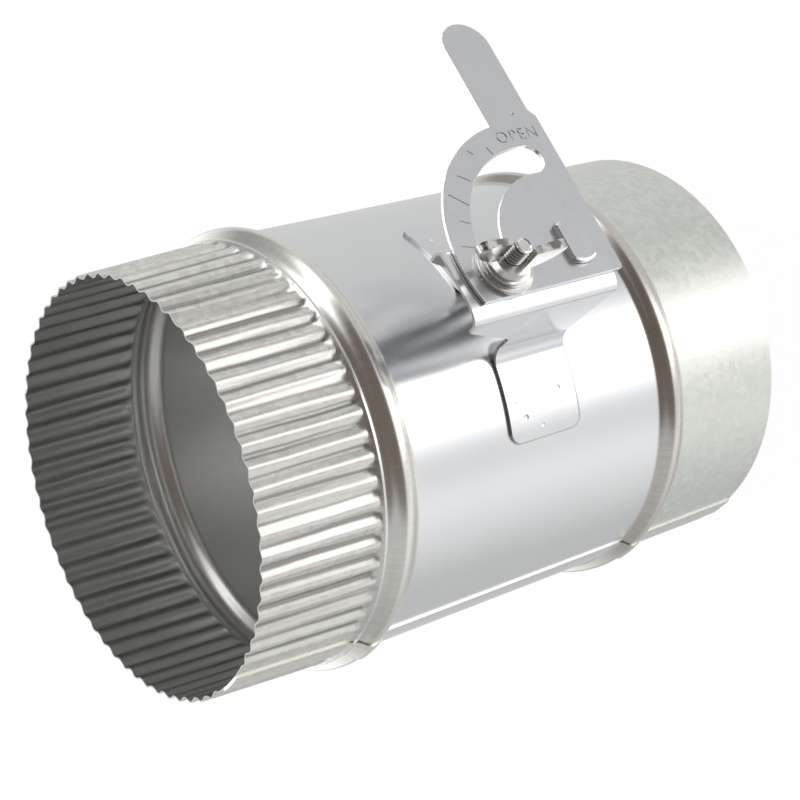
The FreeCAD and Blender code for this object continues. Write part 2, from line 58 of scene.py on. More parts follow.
# Studio. A pale floor under the plain end and a wrap of soft light round the duct's axis:
# a bright softbox low on the camera's side and pale grey walls. Higher up is the room: it is
# dark behind the camera, which the flanks of the beads reflect, with a window to one side.
class Wire:
    """An output of a node. An expression on wires adds its Math nodes."""

    def __init__(self, tree, socket):
        self.tree = tree
        self.socket = socket

    def maths(self, operation, first, second=0.0):
        node = self.tree.nodes.new("ShaderNodeMath")
        node.operation = operation
        for place, value in enumerate((first, second)):
            if isinstance(value, Wire):
                self.tree.links.new(value.socket, node.inputs[place])
            else:
                node.inputs[place].default_value = value
        return Wire(self.tree, node.outputs[0])

    def __add__(self, other):
        return self.maths("ADD", self, other)

    def __radd__(self, other):
        return self.maths("ADD", other, self)

    def __sub__(self, other):
        return self.maths("SUBTRACT", self, other)

    def __rsub__(self, other):
        return self.maths("SUBTRACT", other, self)

    def __mul__(self, other):
        return self.maths("MULTIPLY", self, other)

    def __rmul__(self, other):
        return self.maths("MULTIPLY", other, self)

    def __truediv__(self, other):
        return self.maths("DIVIDE", self, other)

    def __pow__(self, other):
        return self.maths("POWER", self, other)

    def __abs__(self):
        return self.maths("ABSOLUTE", self)

    def atan2(self, other):
        return self.maths("ARCTAN2", self, other)

    def over(self, other):
        return self.maths("MAXIMUM", self, other)


class Finish:
    """The node tree of one finish, and the one method that adds its nodes."""

    def __init__(self, tree):
        self.tree = tree

    def put(self, socket, value):
        if isinstance(value, Wire):
            self.tree.links.new(value.socket, socket)
        else:
            socket.default_value = value

    def node(self, kind, settings, inputs, output=0):
        made = self.tree.nodes.new(kind)
        for name, value in settings.items():
            if name == "stops":
                ramp = made.color_ramp
                while len(ramp.elements) < len(value):
                    ramp.elements.new(0.5)
                for element, (place, colour) in zip(ramp.elements, value):
                    element.position = place
                    rgb = colour if isinstance(colour, tuple) else (colour, colour, colour)
                    element.color = (*rgb, 1)
            else:
                setattr(made, name, value)
        for name, value in inputs.items():
            self.put(made.inputs[name], value)
        return Wire(self.tree, made.outputs[output])

    def parts(self, vector):
        made = self.tree.nodes.new("ShaderNodeSeparateXYZ")
        self.put(made.inputs[0], vector)
        return [Wire(self.tree, made.outputs[i]) for i in range(3)]

    def blend(self, share, first, second):
        """A colour between two others."""
        settings = {"data_type": "RGBA"}
        return self.node("ShaderNodeMix", settings, {0: share, 6: first, 7: second}, 2)

    def step(self, value, low, high):
        """0 below low, 1 above high, and smooth between."""
        settings = {"interpolation_type": "SMOOTHSTEP"}
        inputs = {"Value": value, "From Min": low, "From Max": high, "To Min": 0.0, "To Max": 1.0}
        return self.node("ShaderNodeMapRange", settings, inputs)

    def noise(self, vector, scale, detail, roughness):
        inputs = {"Vector": vector, "Scale": scale, "Detail": detail, "Roughness": roughness}
        return self.node("ShaderNodeTexNoise", {}, inputs)

    def stretched(self, vector, scale):
        return self.node("ShaderNodeVectorMath", {"operation": "MULTIPLY"}, {0: vector, 1: scale})


world = bpy.data.worlds.new("studio")
scene.world = world
world.use_nodes = True
studio = Finish(world.node_tree)
studio.tree.nodes.clear()
direction = studio.node("ShaderNodeTexCoord", {}, {})
east, north, rise = studio.parts(direction)
CAMERA_BEARING = math.radians(-109.3)
toward = east * math.cos(CAMERA_BEARING) + north * math.sin(CAMERA_BEARING)
aside = north * math.cos(CAMERA_BEARING) - east * math.sin(CAMERA_BEARING)
bearing = aside.atan2(toward) / (2 * math.pi) + 0.5
WALL = [(-180, 0.72), (-165, 0.72), (-140, 0.56), (-105, 0.58), (-80, 0.80), (-55, 1.0), (-38, 0.80),
        (-27, 0.82), (-15, 1.7), (0, 2.0), (14, 1.9), (24, 1.0), (36, 0.66), (60, 0.64), (100, 0.68),
        (140, 0.70), (180, 0.72)]
ROOM = [(-180, 2.0), (-150, 1.5), (-115, 0.40), (-70, 0.58), (-50, 0.58), (-40, (0.18, 0.155, 0.14)),
        (46, (0.14, 0.115, 0.105)), (58, 0.5), (66, 2.0), (80, 1.9), (92, 0.5), (125, 0.30),
        (152, 1.5), (180, 2.0)]
WALL_TOP = -0.46
ROOM_FOOT = -0.20


def wrap(stops):
    """Brightness round the duct, from stops given in degrees from the camera's side."""
    ramp = [(degrees / 360 + 0.5, bright) for degrees, bright in stops]
    return studio.node("ShaderNodeValToRGB", {"stops": ramp}, {"Fac": bearing})


light = studio.blend(studio.step(rise, WALL_TOP, ROOM_FOOT), wrap(WALL), wrap(ROOM))
lit = studio.node("ShaderNodeBackground", {}, {"Color": light, "Strength": 1.0})
white = studio.node("ShaderNodeBackground", {}, {"Color": (1, 1, 1, 1), "Strength": 1.0})
seen = studio.node("ShaderNodeLightPath", {}, {}, "Is Camera Ray")
sky = studio.node("ShaderNodeMixShader", {}, {0: seen, 1: lit, 2: white})
ending = studio.tree.nodes.new("ShaderNodeOutputWorld")
studio.put(ending.inputs["Surface"], sky)

FLOOR_R = 2.5
FLOOR_DROP = 0.0006     # keeps the floor clear of the plain end's rim
GLOW = 0.985            # the floor's share of plain white, and the rest shows the shadow
bpy.ops.mesh.primitive_circle_add(vertices=96, radius=FLOOR_R, fill_type="NGON",
                                  location=(0, 0, -FLOOR_DROP))
floor = bpy.context.object
floor.name = "studio_floor"
floor_paint = bpy.data.materials.new("floor_paint")
floor_paint.use_nodes = True
floor_nodes = Finish(floor_paint.node_tree)
floor_nodes.tree.nodes.clear()
matt = floor_nodes.node("ShaderNodeBsdfDiffuse", {}, {"Color": (0.9, 0.9, 0.9, 1)})
glow = floor_nodes.node("ShaderNodeEmission", {}, {"Color": (1, 1, 1, 1), "Strength": 1.0})
seen = floor_nodes.node("ShaderNodeLightPath", {}, {}, "Is Camera Ray")
mixed = floor_nodes.node("ShaderNodeMixShader", {}, {0: seen * GLOW, 1: matt, 2: glow})
ending = floor_nodes.tree.nodes.new("ShaderNodeOutputMaterial")
floor_nodes.put(ending.inputs["Surface"], mixed)
floor.data.materials.append(floor_paint)
floor.visible_glossy = False
floor.visible_shadow = False
floor.visible_diffuse = False

# Duct sleeve. Galvanised steel sheet, rolled into a tube, with two rolled beads that stop
# the next ducts, and one end crimped between toothed wheels so that it slides into a plain
# end. It is drawn up ring by ring and then given its sheet thickness.
MM = 0.001
LENGTH = 235.0
R_BODY = 76.5           # outside radius of the body
SHEET = 0.55
BEADS = (55.5, 181.3)   # heights of the beads' middles
BEAD_WIDTH = 7.2        # from a bead's middle to its foot
BEAD_HEIGHT = 3.4
BEAD_CREST = 5.4        # radius of a bead's crest
CRIMP_START = 188.5
CRIMP_FADE = 1.9        # height over which a crimp reaches its depth
CRIMP_DEPTH = 1.35
CREST_BEAD = 76.2       # radius over the crests by the bead
CREST_RIM = 74.1        # the same at the rim
CRIMPS = 64             # pitches round the sleeve
FLAT_CRIMPS = 3         # pitches left flat where the seam runs
STEPS = 12              # sides of the ring in one pitch
CRIMP_SHIFT = 0.73      # degrees from the seam's middle to the start of the pitches
SEAM_AT = 181.5         # degrees round from +X
SEAM_SPAN = 8.0         # degrees that the seam is wide
LEDGE = ((0.25, -0.10), (0.5, 0.12), (0.9, 0.24), (1.3, 0.28))  # small roll above the bead
CRIMP_RINGS = (0.05, 0.12, 0.25, 0.4, 0.55, 0.7, 0.85, 1.0)


def bead_rows():
    """Heights across a bead from its middle, and how far each stands out."""
    span = (BEAD_WIDTH ** 2 + BEAD_HEIGHT ** 2) / (2 * BEAD_HEIGHT)
    foot = span - BEAD_CREST
    turn = math.asin(BEAD_WIDTH / span)
    rows = []
    for i in range(4):
        a = turn * i / 4
        rows.append((-BEAD_WIDTH + foot * math.sin(a), foot * (1 - math.cos(a))))
    for i in range(5):
        a = turn * (1 - i / 5)
        rows.append((-BEAD_CREST * math.sin(a), BEAD_HEIGHT - BEAD_CREST * (1 - math.cos(a))))
    rows.append((0.0, BEAD_HEIGHT))
    return rows + [(-z, out) for z, out in rows[-2::-1]]


def sleeve_rows(stand):
    """Every ring of the sleeve as height and radius, in millimetres."""
    rows = [(0.0, R_BODY + stand)]
    for middle in BEADS:
        for z, out in bead_rows():
            rows.append((middle + z, R_BODY + out + stand))
    for up, down in LEDGE + ((CRIMP_FADE, R_BODY - CREST_BEAD),):
        rows.append((CRIMP_START + up, R_BODY - down + stand))
    for share in CRIMP_RINGS:
        z = CRIMP_START + CRIMP_FADE
        rows.append((z + (LENGTH - z) * share, CREST_BEAD - (CREST_BEAD - CREST_RIM) * share + stand))
    return rows


def draw_up(rows):
    """Extrude the ring in edit mode through the rows that follow it."""
    for (z0, r0), (z1, r1) in zip(rows[:-1], rows[1:]):
        move = {"value": (0, 0, (z1 - z0) * MM)}
        bpy.ops.mesh.extrude_region_move(TRANSFORM_OT_translate=move)
        bpy.ops.transform.resize(value=(r1 / r0, r1 / r0, 1), center_override=(0, 0, 0))


def choose(piece, test):
    """Leave edit mode with the vertices that pass the test selected, and go back."""
    bpy.ops.object.mode_set(mode="OBJECT")
    for part in (piece.data.polygons, piece.data.edges):
        part.foreach_set("select", [False] * len(part))
    piece.data.vertices.foreach_set("select", [bool(test(v.co / MM)) for v in piece.data.vertices])
    bpy.ops.object.mode_set(mode="EDIT")
    bpy.ops.mesh.select_mode(type="VERT")


rows = sleeve_rows(0.0)
bpy.ops.mesh.primitive_circle_add(vertices=CRIMPS * STEPS, radius=R_BODY * MM, location=(0, 0, 0),
                                  rotation=(0, 0, math.radians(SEAM_AT + CRIMP_SHIFT)))
bpy.ops.object.transform_apply(location=True, rotation=True, scale=True)
sleeve = bpy.context.object
sleeve.name = "beaded_sleeve"
bpy.ops.object.mode_set(mode="EDIT")
bpy.ops.mesh.select_all(action="SELECT")
draw_up(rows)
bpy.ops.mesh.select_all(action="SELECT")
bpy.ops.mesh.normals_make_consistent(inside=False)

# the crimps: each step round a pitch goes in by its share of the depth, and the crimping
# wheels leave no two quite alike
PITCH = 2 * math.pi / CRIMPS
DEEPEST = 1.3           # the most that a crimp goes in, in crimp depths


def crimp_step(point):
    """How many steps round from the flat by the seam, or -1 on the flat itself."""
    around = (math.atan2(point.y, point.x) - math.radians(SEAM_AT + CRIMP_SHIFT)) % (2 * math.pi)
    step = round(around / PITCH * STEPS)
    if step < FLAT_CRIMPS * STEPS // 2 or step > (CRIMPS - FLAT_CRIMPS / 2) * STEPS:
        return -1
    return step - FLAT_CRIMPS * STEPS // 2


def pressed(point):
    """How far in the crimping wheels press this point of the ring, from 0 to about 1."""
    up = point.z - CRIMP_START
    if up < 0.55:
        return 0.0
    step = crimp_step(point)
    if step < 0:
        return 0.5 * min(1.0, (up - 0.5) / CRIMP_FADE)
    crimp = step // STEPS
    late = 0.7 + 0.2 * math.sin(crimp * 2.7)
    fade = min(1.0, max(0.0, (up - late) / CRIMP_FADE))
    slip = 0.02 * math.sin(crimp * 1.7 + up * 0.10) + 0.012 * math.sin(crimp * 3.1 + up * 0.27)
    around = step / STEPS - 0.25 + slip
    groove = 0.5 - 0.5 * math.cos(2 * math.pi * around)
    strength = 1.0 + 0.10 * math.sin(crimp * 2.4 + up * 0.04) + 0.06 * math.sin(crimp * 5.1)
    return (0.5 + (groove * strength - 0.5) * fade) * fade * (2 - fade)


crimps = sleeve.vertex_groups.new(name="crimps")
bpy.ops.object.mode_set(mode="OBJECT")
for vertex in sleeve.data.vertices:
    share = pressed(vertex.co / MM)
    if share > 0:
        crimps.add([vertex.index], share / DEEPEST, "REPLACE")
press = sleeve.modifiers.new("crimping", "DISPLACE")
press.mid_level = 0.0
press.strength = -CRIMP_DEPTH * DEEPEST * MM
press.vertex_group = "crimps"
bpy.ops.object.modifier_apply(modifier=press.name)


def thicken(piece, thickness, inside=0, rim=0):
    """Give a shell its thickness inwards, with other finishes for its inner side and rims."""
    bpy.ops.object.select_all(action="DESELECT")
    bpy.context.view_layer.objects.active = piece
    piece.select_set(True)
    wall = piece.modifiers.new("sheet", "SOLIDIFY")
    wall.thickness = thickness * MM
    wall.offset = -1.0
    wall.use_even_offset = True
    wall.material_offset = inside
    wall.material_offset_rim = rim
    bpy.ops.object.modifier_apply(modifier=wall.name)


def metal(name):
    """A new metal finish: its material, its tree and its shader."""
    material = bpy.data.materials.new(name)
    material.use_nodes = True
    nodes = Finish(material.node_tree)
    shader = material.node_tree.nodes["Principled BSDF"]
    shader.inputs["Metallic"].default_value = 1.0
    return material, nodes, shader


SKIN = R_BODY * MM
galvanised, nodes, shader = metal("galvanised_sheet")
place = nodes.node("ShaderNodeTexCoord", {}, {}, "Object")
px, py, pz = nodes.parts(place)
around = py.atan2(px)
rolled = nodes.node("ShaderNodeCombineXYZ", {}, {"X": around * SKIN, "Y": pz, "Z": 0.0})
crimped_zone = nodes.step(pz, 0.1875, 0.1905)
plain_zone = 1.0 - nodes.step(pz, 0.0480, 0.0500)
off_beads = [nodes.step(abs(pz - middle * MM), 0.0060, 0.0074) for middle in BEADS]
bead_zone = 1.0 - off_beads[0] * off_beads[1]
ends = crimped_zone.over(plain_zone)
spangle = nodes.node("ShaderNodeTexVoronoi", {"feature": "F1"}, {"Vector": rolled, "Scale": 420.0}, "Color")
spangle_grey, _, _ = nodes.parts(spangle)
grain = nodes.noise(nodes.stretched(rolled, (900.0, 160.0, 1.0)), 1.0, 3.0, 0.6)
cloud = nodes.noise(rolled, 38.0, 3.0, 0.55)
body_colour = nodes.blend(cloud, (0.78, 0.79, 0.80, 1), (0.84, 0.85, 0.86, 1))
end_colour = nodes.blend(spangle_grey * 0.5 + grain * 0.5, (0.68, 0.70, 0.65, 1), (0.86, 0.88, 0.83, 1))
crimp_colour = nodes.blend(spangle_grey * 0.4 + grain * 0.6, (0.63, 0.62, 0.57, 1), (0.93, 0.92, 0.87, 1))
bead_colour = nodes.blend(grain, (0.62, 0.59, 0.55, 1), (0.80, 0.77, 0.73, 1))
crimped_bead = nodes.blend(grain, (0.72, 0.71, 0.66, 1), (0.92, 0.91, 0.86, 1))
bead_colour = nodes.blend(nodes.step(pz, 0.10, 0.12), bead_colour, crimped_bead)
# painted shade: the bottoms of the crimp grooves are painted dark, for the shade that falls in them
CREST_LEAN = 0.0471     # how far the crests lean in, per length
out = (px ** 2.0 + py ** 2.0) ** 0.5
crest = CREST_BEAD * MM - (pz - (CRIMP_START + CRIMP_FADE) * MM) * CREST_LEAN
sunk = (crest - out) / (CRIMP_DEPTH * MM)
crimp_colour = nodes.blend(nodes.step(sunk, 0.72, 0.98) * 0.75, crimp_colour, (0.26, 0.26, 0.25, 1))
colour = nodes.blend(plain_zone, body_colour, end_colour)
colour = nodes.blend(crimped_zone, colour, crimp_colour)
colour = nodes.blend(bead_zone, colour, bead_colour)
# painted shadow: a dark line on the sheet along the near foot's edge, where the foot's contact shadow falls
FOOT_AT = 117.15        # height of the foot's middle
FOOT_HALF = 16.05       # half its length along the duct
FOOT_BEARING = -112.0   # degrees round to its middle
FOOT_REACH = 13.0       # degrees from its middle to its end
FOOT_CORNER = 4.0
LINE_WIDTH = 1.2
across_flat = (math.radians(FOOT_REACH) * R_BODY - FOOT_CORNER) * MM
along_flat = (FOOT_HALF - FOOT_CORNER) * MM
across_foot = abs(around - math.radians(FOOT_BEARING)) * SKIN - across_flat
along_foot = abs(pz - FOOT_AT * MM) - along_flat
beyond = (across_foot.over(0.0) ** 2.0 + along_foot.over(0.0) ** 2.0) ** 0.5 - FOOT_CORNER * MM
on_body = nodes.step(out, SKIN - 0.0005, SKIN - 0.0002)
foot_contact_shadow = (1.0 - nodes.step(beyond, 0.0, LINE_WIDTH * MM)) * on_body
colour = nodes.blend(foot_contact_shadow, colour, (0.34, 0.34, 0.35, 1))
nodes.put(shader.inputs["Base Color"], colour)
rough = 0.21 + 0.05 * cloud + plain_zone * 0.09 + ends * 0.10 * spangle_grey + crimped_zone * 0.02
nodes.put(shader.inputs["Roughness"], rough)
height = grain * (0.2 + 0.8 * ends) + spangle_grey * ends * 0.5 + cloud * 0.4
bump = nodes.node("ShaderNodeBump", {}, {"Height": height, "Strength": 0.10, "Distance": 0.0003})
nodes.put(shader.inputs["Normal"], bump)

# the inside keeps the coil's duller, unpolished side
dull, nodes, shader = metal("galvanised_inside")
place = nodes.node("ShaderNodeTexCoord", {}, {}, "Object")
px, py, pz = nodes.parts(place)
rolled = nodes.node("ShaderNodeCombineXYZ", {}, {"X": py.atan2(px) * SKIN, "Y": pz, "Z": 0.0})
grain = nodes.noise(nodes.stretched(rolled, (500.0, 120.0, 1.0)), 1.0, 3.0, 0.6)
cloud = nodes.noise(rolled, 30.0, 3.0, 0.55)
colour = nodes.blend(0.6 * grain + 0.4 * cloud, (0.68, 0.67, 0.65, 1), (0.80, 0.80, 0.78, 1))
# painted shade: the inside of the crimped end is painted darker
painted_crimp_shade = nodes.step(pz, 0.1885, 0.1915) * 0.75
nodes.put(shader.inputs["Base Color"], nodes.blend(painted_crimp_shade, colour, (0.50, 0.50, 0.49, 1)))
nodes.put(shader.inputs["Roughness"], 0.28 + 0.10 * cloud)
bump = nodes.node("ShaderNodeBump", {}, {"Height": grain + cloud, "Strength": 0.08, "Distance": 0.0003})
nodes.put(shader.inputs["Normal"], bump)

# the sheared edge of the sheet has lost its zinc
raw, nodes, shader = metal("sheared_edge")
shader.inputs["Base Color"].default_value = (0.30, 0.30, 0.29, 1)
shader.inputs["Roughness"].default_value = 0.4

sleeve.data.materials.append(galvanised)
sleeve.data.materials.append(dull)
sleeve.data.materials.append(raw)
thicken(sleeve, SHEET, inside=1, rim=2)
bpy.ops.object.shade_smooth_by_angle(angle=math.radians(50))
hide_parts("duct_sleeve")
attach(sleeve, "duct")

# Lock seam. The edges of the sheet are hooked together and pressed flat, which leaves a
# raised strip from end to end that follows the beads.
SEAM_STAND = 0.6        # how far the fold stands above the sheet
SEAM_FOLD = 0.9         # thickness of the fold, whose inner side lies in the sheet
bpy.ops.object.select_all(action="DESELECT")
bpy.ops.mesh.primitive_circle_add(vertices=360, radius=(R_BODY + SEAM_STAND) * MM, location=(0, 0, 0),
                                  rotation=(0, 0, math.radians(SEAM_AT)))
bpy.ops.object.transform_apply(location=True, rotation=True, scale=True)
seam = bpy.context.object
seam.name = "lock_seam"
seam_x = math.cos(math.radians(SEAM_AT))
seam_y = math.sin(math.radians(SEAM_AT))
keep = math.cos(math.radians(SEAM_SPAN / 2 + 0.2))
choose(seam, lambda p: (p.x * seam_x + p.y * seam_y) / math.hypot(p.x, p.y) < keep)
bpy.ops.mesh.delete(type="VERT")
bpy.ops.mesh.select_all(action="SELECT")
seam_rows = []
for z, r in sleeve_rows(SEAM_STAND):
    seam_rows.append((z, r - CRIMP_DEPTH / 2 * min(1.0, max(0.0, z - CRIMP_START) / CRIMP_FADE)))
draw_up(seam_rows)
bpy.ops.mesh.select_all(action="SELECT")
bpy.ops.mesh.normals_make_consistent(inside=False)
bpy.ops.object.mode_set(mode="OBJECT")
thicken(seam, SEAM_FOLD)
bpy.ops.object.shade_smooth_by_angle(angle=math.radians(40))
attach(seam, "duct")
seam.data.materials.append(galvanised)


# Handle bracket. One pressed hat of bright sheet: a flat plate that the handle lies on, two
# tall legs, and two curved feet that are spot-welded to the sleeve.
def even_shade(piece, angle):
    """Smooth shading up to an angle, weighted so that flat faces stay flat."""
    bpy.ops.object.shade_smooth_by_angle(angle=math.radians(angle))
    even = piece.modifiers.new("even", "WEIGHTED_NORMAL")
    even.keep_sharp = True
    even.weight = 90
    bpy.ops.object.modifier_apply(modifier=even.name)


def remake(node, name, bevel, segments=2):
    """A welded copy of a CAD node with its sharp edges eased, which stands for the node."""
    bpy.ops.object.select_all(action="DESELECT")
    piece = bpy.data.objects.new(name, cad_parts[node].data.copy())
    scene.collection.objects.link(piece)
    piece.data.materials.clear()
    bpy.context.view_layer.objects.active = piece
    piece.select_set(True)
    bpy.ops.mesh.customdata_custom_splitnormals_clear()
    bpy.ops.object.mode_set(mode="EDIT")
    bpy.ops.mesh.select_all(action="SELECT")
    bpy.ops.mesh.remove_doubles(threshold=0.000002)
    bpy.ops.mesh.dissolve_limited(angle_limit=math.radians(0.5))
    bpy.ops.object.mode_set(mode="OBJECT")
    if bevel:
        ease = piece.modifiers.new("ease", "BEVEL")
        ease.limit_method = "ANGLE"
        ease.angle_limit = math.radians(40)
        ease.width = bevel * MM
        ease.segments = segments
        ease.harden_normals = True
        bpy.ops.object.modifier_apply(modifier=ease.name)
    even_shade(piece, 35)
    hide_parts(node)
    return piece


def sheet_finish(name, dark, pale, rough, streak):
    """Plated sheet or bar: a clean metal with fine grain and faint clouds."""
    material, nodes, shader = metal(name)
    place = nodes.node("ShaderNodeTexCoord", {}, {}, "Object")
    grain = nodes.noise(nodes.stretched(place, streak), 1.0, 3.0, 0.6)
    cloud = nodes.noise(place, 70.0, 3.0, 0.5)
    nodes.put(shader.inputs["Base Color"], nodes.blend(0.4 * grain + 0.6 * cloud, (*dark, 1), (*pale, 1)))
    nodes.put(shader.inputs["Roughness"], rough + 0.08 * cloud + 0.05 * grain)
    relief = {"Height": grain + 0.6 * cloud, "Strength": 0.025, "Distance": 0.0002}
    bump = nodes.node("ShaderNodeBump", {}, relief)
    nodes.put(shader.inputs["Normal"], bump)
    return material


def press_in(piece, tool, finish=None):
    """Press a tool's shape into a piece, in the tool's finish if it has one, and remove it."""
    bpy.ops.object.select_all(action="DESELECT")
    bpy.context.view_layer.objects.active = piece
    piece.select_set(True)
    press = piece.modifiers.new("press", "BOOLEAN")
    press.operation = "DIFFERENCE"
    press.object = tool
    press.solver = "EXACT"
    if finish:
        tool.data.materials.append(finish)
        press.material_mode = "TRANSFER"
    bpy.ops.object.modifier_apply(modifier=press.name)
    bpy.data.objects.remove(tool, do_unlink=True)


bright_zinc = sheet_finish("bright_zinc_sheet", (0.74, 0.75, 0.77), (0.86, 0.87, 0.88), 0.14, (500, 500, 60))
bracket = remake("handle_bracket", "pressed_bracket", 0.42, 3)
bracket.data.materials.append(bright_zinc)

# the spot welds, each a shallow dimple where the electrodes pressed: its height, its degrees
# round from the shaft's line, and its radius
WELDS = [(119.0, -32.0, 0.9), (109.5, -24.0, 1.1), (126.0, -29.0, 1.2), (129.5, -25.0, 0.8),
         (118.0, 27.0, 1.2), (128.0, 25.0, 1.2)]
WELD_BALL = 3.0         # radius of the electrode's tip
FOOT_FACE = R_BODY + 1.14
for height, turn, wide in WELDS:
    angle = math.radians(-90 + turn)
    deep = WELD_BALL - math.sqrt(WELD_BALL ** 2 - wide ** 2)
    reach = (FOOT_FACE + WELD_BALL - deep) * MM
    middle = (reach * math.cos(angle), reach * math.sin(angle), height * MM)
    bpy.ops.object.select_all(action="DESELECT")
    bpy.ops.mesh.primitive_uv_sphere_add(segments=32, ring_count=24, radius=WELD_BALL * MM,
                                         location=middle)
    press_in(bracket, bpy.context.object)
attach(bracket, "duct")

# Quadrant lever. Flat zinc-plated sheet, blanked with its arc slot and handle, and riveted
# over the flats of the shaft. The marks are stamped.
lever_zinc = sheet_finish("zinc_lever", (0.66, 0.67, 0.69), (0.76, 0.77, 0.79), 0.22, (300, 300, 300))
# painted highlight: the lever's cut edges get a paler finish than its faces, for the bright line along them
cut_edge_highlight = sheet_finish("zinc_cut_edge", (0.88, 0.89, 0.90), (0.97, 0.97, 0.98), 0.20, (900, 900, 900))
# painted shade: the stamped marks get a darker finish, for the shade in their recesses
stamp_shade = sheet_finish("zinc_stamped", (0.46, 0.47, 0.48), (0.56, 0.57, 0.58), 0.30, (300, 300, 300))
lever = remake("quadrant_lever", "stamped_lever", 0.16)
LEVER_FACE = -0.1155    # where the lever's outer face is, along Y in metres
SHAFT_AT = 0.1134       # height of the shaft's axis in metres
DEEP = 0.3              # a stamp's height, of which half goes into the face
TICK_WIDTH = 0.42
TICKS = [(13.2, 40.1, 12.0, 37.1), (21.4, 40.3, 19.9, 38.5), (30.7, 32.1, 26.9, 29.3),
         (38.1, 26.1, 32.5, 20.8), (39.4, 16.2, 35.9, 14.5), (43.8, 7.4, 38.7, 5.9)]
lever.data.materials.append(lever_zinc)
lever.data.materials.append(cut_edge_highlight)
for face in lever.data.polygons:
    if abs(face.normal.y) < 0.5:
        face.material_index = 1

# the ticks of the scale, each cut with a narrow chisel from one end to the other, as its
# distances up and out from the shaft
for a0, t0, a1, t1 in TICKS:
    bpy.ops.object.select_all(action="DESELECT")
    middle = ((t0 + t1) / 2 * MM, LEVER_FACE, SHAFT_AT + (a0 + a1) / 2 * MM)
    slant = math.atan2(a1 - a0, t1 - t0)
    length = math.hypot(a1 - a0, t1 - t0)
    bpy.ops.mesh.primitive_cube_add(size=1, location=middle, rotation=(0, -slant, 0),
                                    scale=(length * MM, DEEP * MM, TICK_WIDTH * MM))
    press_in(lever, bpy.context.object, stamp_shade)

# the punch dot at the foot of the handle
bpy.ops.object.select_all(action="DESELECT")
bpy.ops.mesh.primitive_uv_sphere_add(segments=24, ring_count=12, radius=1.0 * MM,
                                     location=(0.0507, LEVER_FACE - 0.0007, SHAFT_AT - 0.0051))
press_in(lever, bpy.context.object, stamp_shade)

# the stamped word, which names the lever's open end
bpy.ops.object.select_all(action="DESELECT")
bpy.ops.object.text_add(location=(0, 0, 0))
word = bpy.context.object
word.data.body = "OPEN"
word.data.size = 6.4 * MM
word.data.extrude = DEEP / 2 * MM
word.data.space_character = 1.18
word.data.offset = -0.03 * MM
bpy.ops.object.convert(target="MESH")
word = bpy.context.object
word_at = Vector((0.0406, LEVER_FACE, SHAFT_AT + 0.0072))
turn = Matrix(((0, 1, 0), (0, 0, -1), (-1, 0, 0))).to_4x4()
word.matrix_world = Matrix.Translation(word_at) @ turn
bpy.ops.object.transform_apply(location=True, rotation=True, scale=True)
press_in(lever, word, stamp_shade)
bpy.ops.object.select_all(action="DESELECT")
bpy.context.view_layer.objects.active = lever
lever.select_set(True)
even_shade(lever, 30)
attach(lever, "damper")

# Shaft and blade. A turned bar with two flats carries the lever; it is split for the blade
# and riveted through it. A short pin does the same on the far side, held by a push-on ring.
for node, name, bevel in (("control_shaft", "split_shaft", 0.12), ("idle_pin", "split_pin", 0.2)):
    bar = remake(node, name, bevel)
    if node == "control_shaft":
        # the ends of the head are drawn in a little
        choose(bar, lambda p: p.y < -117.7 and abs(p.x) > 4.5)
        bpy.ops.transform.resize(value=(0.94, 1, 0.98), center_override=(0, 0, SHAFT_AT))
        bpy.ops.object.mode_set(mode="OBJECT")
    bar.data.materials.append(lever_zinc)
    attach(bar, "damper")
blade = remake("damper_blade", "blade_disc", 0.2)
blade.data.materials.append(galvanised)
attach(blade, "damper")
hardware_zinc = sheet_finish("zinc_hardware", (0.70, 0.69, 0.67), (0.84, 0.83, 0.81), 0.17, (400, 400, 400))
for node, name in (("drive_rivet_inner", "rivet_a"), ("drive_rivet_outer", "rivet_b"),
                   ("idle_rivet", "rivet_c"), ("push_ring", "spring_ring")):
    small = remake(node, name, 0)
    small.data.materials.append(hardware_zinc)
    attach(small, "damper")

# Lock bolt. A quarter inch carriage bolt of zinc-plated steel, with a domed head and square
# neck held in the bracket's plate. Its thread is rolled, 1.27 mm a turn.
BOLT_AT = (-0.00307, -0.1155, 0.1464)   # its axis at the lever's face, in metres
BOLT_END = 14.0         # from the lever's face to the bolt's end
UNDER_PLATE = -2.82     # from the lever's face to the plate's inner face
HEAD_R = 7.4
HEAD_HIGH = 3.4
NECK = 6.35
THREAD_PITCH = 1.27
THREAD_ROOT = 2.38
THREAD_TURNS = 9
CORE_R = THREAD_ROOT + 0.03


def lay_out(piece):
    """Turn a piece made upwards along Z so that it points out along -Y from the lever's face."""
    if piece.mode == "EDIT":
        bpy.ops.object.mode_set(mode="OBJECT")
    bpy.ops.object.select_all(action="DESELECT")
    bpy.context.view_layer.objects.active = piece
    piece.select_set(True)
    piece.rotation_euler = (math.radians(90), 0, 0)
    piece.location = BOLT_AT
    bpy.ops.object.transform_apply(location=True, rotation=True, scale=True)


def turned(name, rows):
    """A turned piece: a disc drawn up ring by ring, in millimetres, and closed at its end."""
    bpy.ops.object.select_all(action="DESELECT")
    bpy.ops.mesh.primitive_circle_add(vertices=48, radius=rows[0][1] * MM, fill_type="NGON",
                                      location=(0, 0, rows[0][0] * MM))
    bpy.ops.object.transform_apply(location=True, rotation=True, scale=True)
    piece = bpy.context.object
    piece.name = name
    bpy.ops.object.mode_set(mode="EDIT")
    bpy.ops.mesh.select_all(action="SELECT")
    draw_up(rows)
    bpy.ops.mesh.select_all(action="SELECT")
    bpy.ops.mesh.normals_make_consistent(inside=False)
    lay_out(piece)
    return piece


